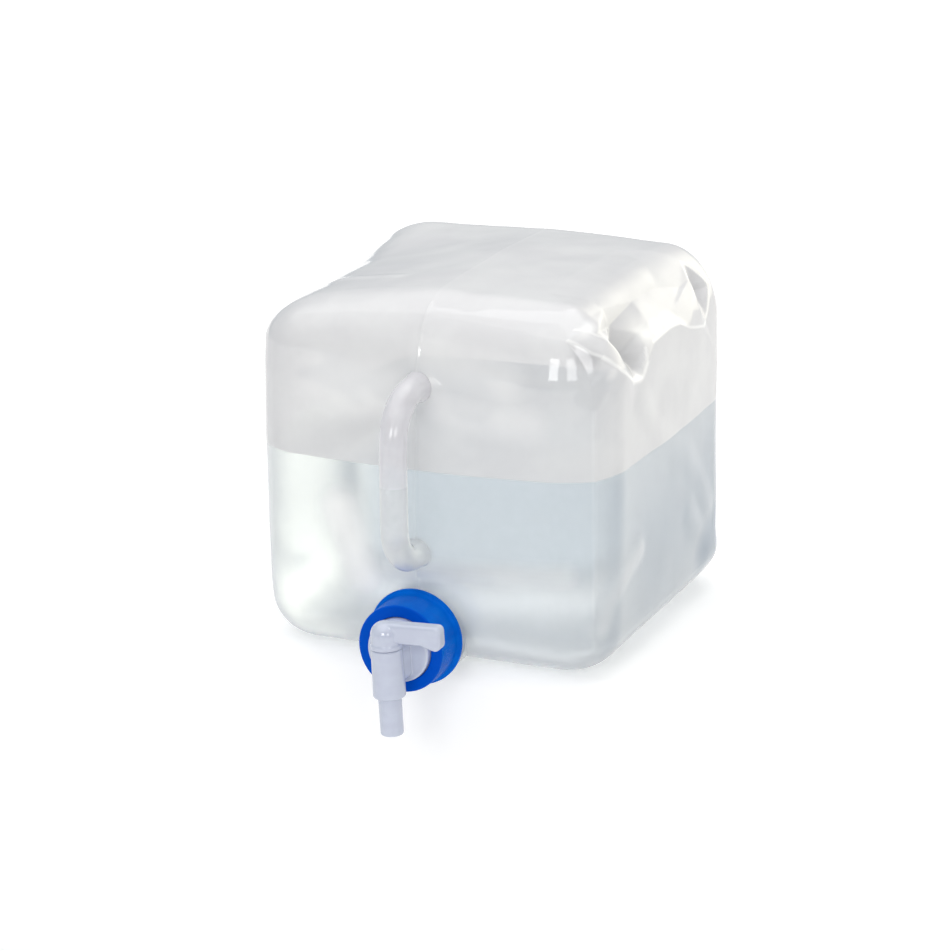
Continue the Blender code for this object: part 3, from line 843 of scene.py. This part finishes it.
def handle():
    """The hollow handle: a ring of points drawn out and turned round two bends, closed in the panel."""
    tube = primitive(
        "handle_tube", bpy.ops.mesh.primitive_circle_add, vertices=HANDLE_SIDES, fill_type="NGON",
        radius=HANDLE_RADIUS, location=(0.0, HANDLE_TOP_END, HANDLE_TOP),
        rotation=(math.pi / 2, 0.0, 0.0),
    )
    bpy.ops.object.transform_apply(location=True, rotation=True, scale=True)
    editing(tube)
    turns = (
        ((0.0, HANDLE_GRIP + HANDLE_TOP_BEND, HANDLE_TOP), HANDLE_TOP_BEND, (0.0, 0.0, -1.0)),
        ((0.0, HANDLE_GRIP, HANDLE_FOOT + HANDLE_FOOT_BEND), HANDLE_FOOT_BEND, (0.0, 1.0, 0.0)),
    )
    place = Vector((0.0, HANDLE_TOP_END, HANDLE_TOP))
    for start, radius, towards in turns:
        run = Vector(start) - place
        drawn_out(run)
        centre = Vector(start) + Vector(towards) * radius
        bpy.ops.mesh.spin(
            steps=HANDLE_BEND_STEPS, angle=-math.pi / 2, center=centre, axis=(1.0, 0.0, 0.0), dupli=False
        )
        place = centre + run.normalized() * radius
    drawn_out(Vector((0.0, HANDLE_FOOT_END, HANDLE_FOOT)) - place)
    bpy.ops.mesh.select_all(action="SELECT")
    bpy.ops.mesh.remove_doubles(threshold=0.00001)
    bpy.ops.mesh.normals_make_consistent(inside=False)
    done()
    places = points_of(tube)
    upper = places[:, 2] > HANDLE_MIDDLE
    end = np.where(upper, HANDLE_TOP_END, HANDLE_FOOT_END)
    root = np.clip(1.0 - (end - places[:, 1]) / HANDLE_FLARE, 0.0, 1.0) ** HANDLE_FLARE_POWER
    centre = np.where(upper, HANDLE_TOP, HANDLE_FOOT)
    grow = 1.0 + root * (HANDLE_ROOT / HANDLE_RADIUS - 1.0)
    places[:, 0] *= grow
    places[:, 2] = centre + (places[:, 2] - centre) * grow
    put_points(tube, places)
    tube.data.materials.append(handle_finish())
    smooth(tube, 50)
    return tube


# The neck, the cap and the tap

def traced(name, outline):
    """A line from point to point, left open in edit mode."""
    obj = primitive(name, bpy.ops.mesh.primitive_plane_add, size=MM)
    editing(obj)
    bpy.ops.mesh.select_mode(type="VERT")
    bpy.ops.mesh.select_all(action="SELECT")
    bpy.ops.mesh.merge(type="CENTER")
    bpy.ops.transform.translate(value=outline[0])
    for start, end in zip(outline, outline[1:]):
        bpy.ops.mesh.extrude_region_move(TRANSFORM_OT_translate={"value": Vector(end) - Vector(start)})
    bpy.ops.mesh.select_all(action="SELECT")
    return obj


def turned(name, outline, steps=96, centre=(0.0, 0.0, CAP_AXIS), axis=(0.0, 1.0, 0.0)):
    """A piece drawn as half its section, from point to point, and spun once round its axis."""
    obj = traced(name, outline)
    bpy.ops.mesh.spin(steps=steps, angle=2 * math.pi, center=centre, axis=axis, dupli=False)
    bpy.ops.mesh.select_all(action="SELECT")
    bpy.ops.mesh.remove_doubles(threshold=0.000002)
    bpy.ops.mesh.normals_make_consistent(inside=False)
    done()
    return obj


def slab(name, outline, thickness, edge):
    """A flat outline drawn out to its thickness, front to back, with its edges rounded."""
    obj = traced(name, outline)
    bpy.ops.mesh.edge_face_add()
    bpy.ops.mesh.extrude_region_move(TRANSFORM_OT_translate={"value": (0.0, thickness, 0.0)})
    bpy.ops.mesh.select_all(action="SELECT")
    bpy.ops.mesh.normals_make_consistent(inside=False)
    done()
    modified(obj, "BEVEL", width=edge, segments=4, limit_method="ANGLE", angle_limit=math.radians(50))
    return obj


def joined(body, other, operation="UNION"):
    """Welds a second shape into the first, or cuts it out."""
    modified(body, "BOOLEAN", object=other, operation=operation, solver="EXACT")
    bpy.data.objects.remove(other)


def softened(obj):
    """Lets the joins of a moulded piece flow together, as the mould's rounded corners do."""
    modified(obj, "REMESH", mode="VOXEL", voxel_size=MOULDING_GRAIN, use_smooth_shade=True)
    modified(obj, "SMOOTH", factor=0.5, iterations=MOULDING_ROUNDS)
    alone(obj)
    bpy.ops.object.shade_smooth()


def tilted(obj):
    """Turns a piece of the tap to the angle at which the cap has clamped it."""
    editing(obj)
    bpy.ops.transform.rotate(
        value=TAP_TURN, orient_axis="Y", orient_type="GLOBAL", center_override=(0.0, 0.0, CAP_AXIS)
    )
    done()


def on_neck(outline):
    """Points of (radius, station) on the neck's axis, as places."""
    return [(radius, -station, CAP_AXIS) for radius, station in outline]


def upright(name, outline):
    """A piece turned about the barrel's upright axis, from points of (radius, height)."""
    places = [(radius, -BARREL_STATION, CAP_AXIS + height) for radius, height in outline]
    return turned(name, places, 128, (0.0, -BARREL_STATION, 0.0), (0.0, 0.0, 1.0))


def arc(centre, radius, start, end, steps):
    """Points of a rounded corner in a section, between two angles in degrees."""
    points = []
    for step in range(steps + 1):
        angle = math.radians(start + (end - start) * step / steps)
        points.append((centre[0] + radius * math.cos(angle), centre[1] + radius * math.sin(angle)))
    return points


def screw_cap():
    """The blue ring cap: a flange with fine grip lines, a fillet, a drafted skirt and a soft front edge."""
    outline = [(CAP_BORE, CAP_REAR), (CAP_FLANGE, CAP_REAR)]
    outline += arc((CAP_FLANGE, CAP_REAR + CAP_EDGE), CAP_EDGE, -90, 0, 4)
    outline += arc((CAP_FLANGE, CAP_REAR + CAP_FLANGE_DEPTH - CAP_EDGE), CAP_EDGE, 0, 90, 4)
    outline += arc((CAP_FILLET_AT[0], CAP_REAR + CAP_FILLET_AT[1]), CAP_FILLET, 270, 180, 6)
    outline += [(radius, CAP_REAR + ahead) for radius, ahead in CAP_SKIRT]
    front = (CAP_SKIRT_END - CAP_FRONT_ROUND, CAP_FRONT - CAP_FRONT_ROUND)
    outline += arc(front, CAP_FRONT_ROUND, 0, 90, 6)
    outline += arc((CAP_HOLE + CAP_HOLE_ROUND, CAP_FRONT - CAP_HOLE_ROUND), CAP_HOLE_ROUND, 90, 180, 3)
    outline += [(CAP_HOLE, CAP_INSIDE), (CAP_BORE, CAP_INSIDE), (CAP_BORE, CAP_REAR)]
    cap = turned("ring_cap_skirt", on_neck(outline), steps=GRIP_LINES)

    def grooved(middle):
        """Every second face round the skirt and round the flange's rim."""
        out = Vector((middle.x, 0.0, middle.z - CAP_AXIS))
        turn = (math.atan2(out.z, out.x) + math.pi) / (2 * math.pi)
        along = GRIP_BEHIND_FRONT < CAP_FRONT + middle.y < CAP_FRONT - CAP_REAR - GRIP_AHEAD_OF_REAR
        skirt = along and out.length > GRIP_SKIRT
        return int(turn * GRIP_LINES + 0.25) % 2 == 1 and (skirt or out.length > GRIP_RIM)

    editing(cap, everything=False)
    choose(cap, grooved)
    bpy.ops.mesh.extrude_region_shrink_fatten(TRANSFORM_OT_shrink_fatten={"value": -GRIP_DEPTH})
    done()
    cap.data.materials.append(moulded_finish(
        "blue_cap_plastic", (0.0, 0.125, 0.63, 1.0), (0.0, 0.16, 0.71, 1.0), 0.25, 0.03,
        # painted shade for the cap's front ring
        (0.0, 0.085, 0.58, 1.0),
    ))
    smooth(cap, 35)
    return cap


def neck():
    """The neck: its mouth, its tube under the cap and the round it makes into the film. Its thread,
    which the cap hides, is on the solid only."""
    outline = [(NECK_BORE, NECK_ROOT), (NECK_FLARE, NECK_ROOT), (NECK_FLARE, NECK_FLARE_END)]
    outline += arc((NECK_FLARE, NECK_ROUND_AT), NECK_FLARE - NECK_RADIUS, 270, 180, 8)
    outline += [(NECK_RADIUS, NECK_MOUTH - NECK_EDGE), (NECK_RADIUS - NECK_EDGE, NECK_MOUTH)]
    outline += [(NECK_BORE, NECK_MOUTH), (NECK_BORE, NECK_ROOT)]
    return turned("neck_tube", on_neck(outline))


def tap_body():
    """The fixed part of the tap: flange, boss, stem block and the hollow upright barrel."""
    outline = [(0.0, TAP_FLANGE_REAR), (TAP_FLANGE, TAP_FLANGE_REAR), (TAP_FLANGE, TAP_FLANGE_FRONT)]
    outline += [(BOSS, TAP_FLANGE_FRONT), (BOSS, BOSS_FRONT - BOSS_ROUND)]
    outline += arc((BOSS - BOSS_ROUND, BOSS_FRONT - BOSS_ROUND), BOSS_ROUND, 15, 90, 4)
    outline += [(0.0, BOSS_FRONT)]
    body = turned("tap_body_moulding", on_neck(outline), steps=128)
    half, foot, top = STEM_HALF, CAP_AXIS - STEM_FOOT, CAP_AXIS + STEM_TOP
    block = [
        (-half, -BARREL_STATION, foot), (half, -BARREL_STATION, foot),
        (half, -BARREL_STATION, top), (-half, -BARREL_STATION, top),
    ]
    joined(body, slab("stem_block", block, BARREL_STATION - BOSS_FRONT + STEM_IN_BOSS, STEM_EDGE))
    outline = [(0.0, -BARREL_FOOT)]
    outline += arc((BARREL_LOW - BARREL_ROUND, -BARREL_FOOT + BARREL_ROUND), BARREL_ROUND, -90, 0, 6)
    outline += [(BARREL_HIGH, BARREL_TOP - BARREL_EDGE), (BARREL_HIGH - BARREL_EDGE, BARREL_TOP)]
    outline += [(0.0, BARREL_TOP)]
    joined(body, upright("barrel", outline))
    low, high = -BARREL_FOOT - BORE_SPARE, BARREL_TOP + BORE_SPARE
    outline = [(0.0, low), (BARREL_BORE, low), (BARREL_BORE, high), (0.0, high)]
    joined(body, upright("barrel_bore", outline), "DIFFERENCE")
    softened(body)
    tilted(body)
    return body


def tap_key():
    """The turning key: domed head with its lever, a collar on the barrel, plug and spout in one."""
    hollow = -SPOUT_REACH + SPOUT_HOLLOW
    outline = [(0.0, hollow), (KEY_BORE, hollow), (KEY_BORE, -SPOUT_REACH)]
    outline += arc((PLUG - SPOUT_ROUND, -SPOUT_REACH + SPOUT_ROUND), SPOUT_ROUND, -80, 0, 6)
    outline += [(PLUG, KEY_SEAT), (COLLAR, KEY_SEAT)]
    outline += arc((COLLAR - COLLAR_ROUND, KEY_SEAT + COLLAR_ROUND_AT), COLLAR_ROUND, 0, 80, 4)
    outline += [(HEAD, KEY_SEAT + COLLAR_DEPTH)]
    outline += arc((HEAD - HEAD_ROUND, HEAD_TOP - HEAD_ROUND), HEAD_ROUND, 0, 90, 10) + [(0.0, HEAD_TOP)]
    key = upright("tap_key_moulding", outline)
    shape = [(0.0, LEVER_FOOT), (LEVER_STEP, LEVER_FOOT)]
    shape += arc((LOBE_REACH - LOBE_ROUND, LOBE_FOOT + LOBE_ROUND), LOBE_ROUND, -110, 0, 8)
    shape += arc((LOBE_REACH - LEVER_ROUND, LEVER_TOP - LEVER_ROUND), LEVER_ROUND, 0, 90, 6)
    shape += [(0.0, LEVER_TOP)]
    front = -BARREL_STATION - LEVER_HALF
    lever = [(x, front, CAP_AXIS + z) for x, z in shape]
    joined(key, slab("lever", lever, 2 * LEVER_HALF, LEVER_EDGE))
    softened(key)
    tilted(key)
    return key


def gasket():
    """The soft washer between the neck's mouth and the tap's flange."""
    outline = [(NECK_BORE, GASKET_REAR), (GASKET_RADIUS, GASKET_REAR)]
    outline += arc((GASKET_RADIUS, GASKET_REAR + GASKET_EDGE), GASKET_EDGE, -90, 0, 3)
    outline += arc((GASKET_RADIUS, GASKET_FRONT - GASKET_EDGE), GASKET_EDGE, 0, 90, 3)
    outline += [(NECK_BORE, GASKET_FRONT), (NECK_BORE, GASKET_REAR)]
    return turned("gasket_ring", on_neck(outline))


# The scene

def camera():
    """The photographer's view: far off, a little to the right and above."""
    back = Vector((
        math.sin(CAMERA_AZIMUTH) * math.cos(CAMERA_ELEVATION),
        -math.cos(CAMERA_AZIMUTH) * math.cos(CAMERA_ELEVATION),
        math.sin(CAMERA_ELEVATION),
    ))
    right = (-back).cross(Vector((0, 0, 1))).normalized()
    up = right.cross(-back)
    right, up = (
        right * math.cos(CAMERA_ROLL) + up * math.sin(CAMERA_ROLL),
        up * math.cos(CAMERA_ROLL) - right * math.sin(CAMERA_ROLL),
    )
    data = bpy.data.cameras.new("photo_view")
    data.sensor_width = CAMERA_SENSOR
    data.lens = CAMERA_LENS
    obj = bpy.data.objects.new("photo_view", data)
    bpy.context.scene.collection.objects.link(obj)
    turn = Matrix((right, up, back)).transposed().to_4x4()
    target = Vector((0.0, 0.0, HALF.z + CAMERA_AIM_HEIGHT))
    place = target + back * CAMERA_DISTANCE + right * CAMERA_SHIFT_RIGHT + up * CAMERA_SHIFT_UP
    obj.matrix_world = Matrix.Translation(place) @ turn
    bpy.context.scene.camera = obj


def table():
    """A pale table that the carrier stands on, with its tap hanging over the front edge."""
    top = primitive("table", bpy.ops.mesh.primitive_cube_add, size=1.0, location=TABLE_PLACE)
    bpy.ops.transform.resize(value=TABLE_SIZE)
    bpy.ops.object.transform_apply(location=True, rotation=True, scale=True)
    modified(top, "BEVEL", width=TABLE_EDGE, segments=6)
    top.data.materials.append(stage_finish())
    smooth(top, 40)
    ground = primitive(
        "ground", bpy.ops.mesh.primitive_plane_add, size=GROUND_SIZE, location=(0.0, 0.0, GROUND_LEVEL)
    )
    bpy.ops.object.transform_apply(location=True, rotation=True, scale=True)
    ground.data.materials.append(top.data.materials[0])


def soft_box(name, place, size, power):
    """A soft lamp that faces the carrier."""
    data = bpy.data.lights.new(name, "AREA")
    data.shape = "RECTANGLE"
    data.size, data.size_y = size
    data.energy = power
    lamp = bpy.data.objects.new(name, data)
    bpy.context.scene.collection.objects.link(lamp)
    lamp.location = place
    lamp.rotation_euler = (Vector(LAMP_AIM) - Vector(place)).to_track_quat("-Z", "Y").to_euler()


def studio():
    """White surroundings for the rays that see them and soft light: warm from the right, cool and
    dimmer from the left. What the water bends into view lies below the table."""
    f = Finish("studio", bpy.data.worlds)
    bpy.context.scene.world = f.material
    sky = f.node("ShaderNodeTexCoord", output="Generated")
    side = f.node("ShaderNodeSeparateXYZ", None, {"Vector": sky}, output="X")
    height = f.node("ShaderNodeSeparateXYZ", None, {"Vector": sky}, output="Z")
    ahead = f.node("ShaderNodeSeparateXYZ", None, {"Vector": sky}, output="Y")
    given = f.colour((0.44, 0.47, 0.50, 1.0), (0.40, 0.40, 0.395, 1.0), side.ramp(-0.5, 0.6))
    given = f.colour(given, grey(0.33), ahead.ramp(-0.9, -0.1, 1.0, 0.0))
    above = f.colour(grey(1.50), grey(0.90), side.ramp(-0.2, 0.8))
    given = f.colour(given, above, height.ramp(0.45, 0.9))
    sunny = ahead.ramp(0.35, 0.8) * side.ramp(-0.15, 0.25)
    given = f.colour(given, (2.4, 2.35, 2.1, 1.0), sunny * height.ramp(0.35, 0.6, 1.0, 0.0))
    below = f.colour((0.16, 0.23, 0.34, 1.0), (0.76, 0.83, 0.88, 1.0), ahead.ramp(-0.6, 0.4))
    below = f.colour(below, (1.80, 1.77, 1.61, 1.0), side.ramp(-0.40, 0.15) * ahead.ramp(-0.2, 0.4))
    given = f.colour(given, below, height.ramp(-0.10, 0.0, 1.0, 0.0))
    seen = f.node("ShaderNodeLightPath", output="Is Camera Ray")
    light = f.colour(given, grey(1.0), seen)
    back = f.node("ShaderNodeBackground", None, {"Color": light, "Strength": 1.0})
    f.node("ShaderNodeOutputWorld", None, {"Surface": back})
    for lamp in LAMPS:
        soft_box(*lamp)


def build():
    camera()
    studio()
    table()
    bpy.context.scene.view_settings.view_transform = "Standard"
    skin = container()
    contents = water(skin)
    white = moulded_finish(
        "white_tap_plastic", (0.535, 0.57, 0.70, 1.0), (0.58, 0.625, 0.745, 1.0), 0.09, 1.0
    )
    # each piece with the body it rides on, the nodes it takes the place of and its slot
    pieces = (
        (skin, "back", ("front_panel", "folding_walls", "rear_panel"), "container"),
        (handle(), "front", ("handle",), "handle"),
        (neck(), "front", ("neck",), "container"),
        (screw_cap(), "cap", ("ring_cap",), "cap"),
        (gasket(), "tap", ("neck_gasket",), "gasket"),
        (tap_body(), "tap", ("tap_body",), "tap"),
        (tap_key(), "key", ("tap_key",), "tap"),
    )
    for piece, rides, nodes, slot in pieces:
        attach(piece, rides)
        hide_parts(*nodes)
        if not piece.data.materials:
            piece.data.materials.append(white if rides in ("tap", "key") else skin.data.materials[0])
    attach(contents, "back")
    for piece in (skin, contents):
        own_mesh(piece)


build()
